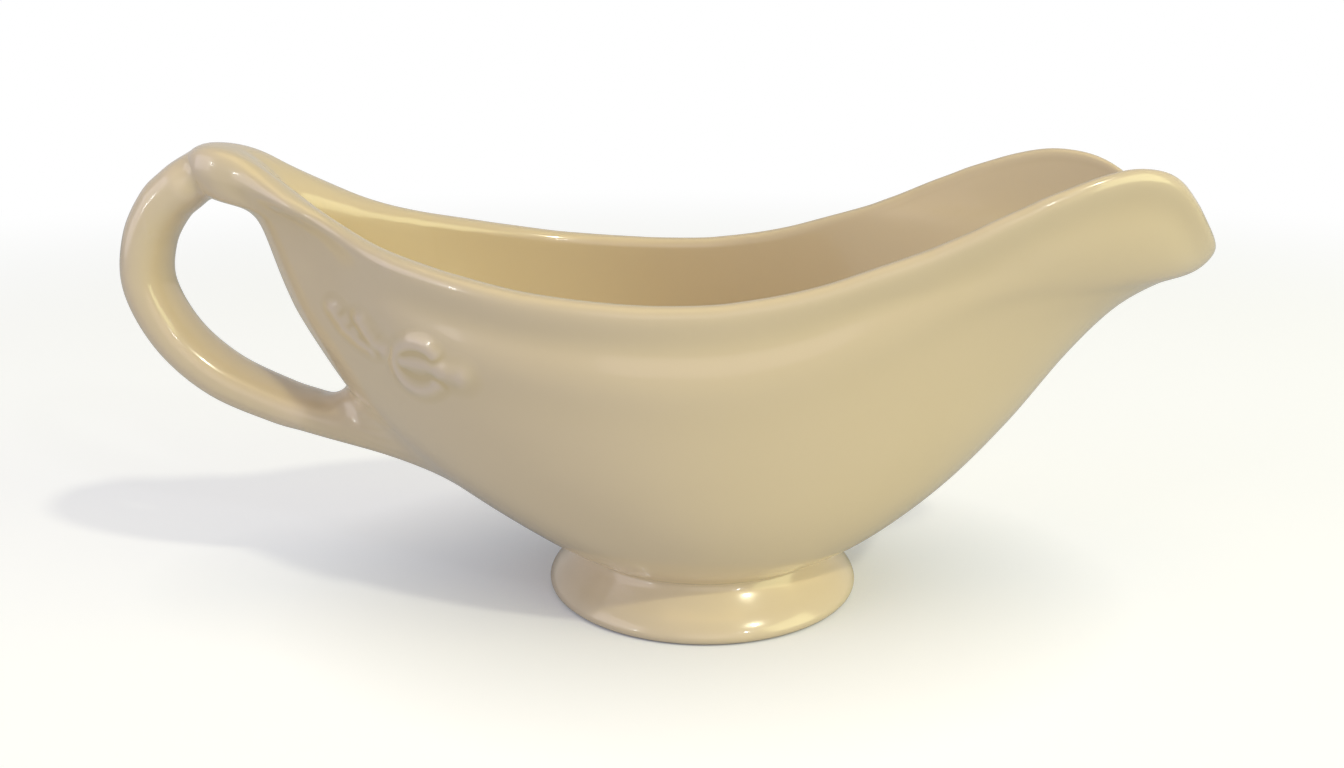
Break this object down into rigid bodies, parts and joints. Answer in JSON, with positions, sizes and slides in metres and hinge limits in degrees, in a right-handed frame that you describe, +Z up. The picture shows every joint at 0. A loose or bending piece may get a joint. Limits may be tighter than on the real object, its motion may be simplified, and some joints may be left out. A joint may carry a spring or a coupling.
{
  "type": "gravy boat",
  "caption": "Footed oval pouring boat with a high curved spout, dipped rim, rear thumb rest, loop handle and small applied scroll and leaf relief.",
  "frame": {"origin": "centre of the foot's bearing ring, on the table", "axes": "+X out of the spout, -X through the handle, +Y to the left side, +Z up"},
  "size_m": [0.2162, 0.0796, 0.0911],
  "materials": {
    "body_glaze": "glossy pale yellow glaze",
    "foot_glaze": "glossy pale yellow glaze, dry bearing ring underneath",
    "handle_glaze": "glossy pale yellow glaze",
    "relief_glaze": "glossy pale yellow glaze, thinner on the high points"
  },
  "bodies": {
    "root": {"bowl": "body_glaze", "foot_ring": "foot_glaze", "handle": "handle_glaze", "scroll_sprig_right": "relief_glaze", "scroll_sprig_left": "relief_glaze", "leaf_sprig_right": "relief_glaze", "leaf_sprig_left": "relief_glaze"}
  },
  "joints": []
}
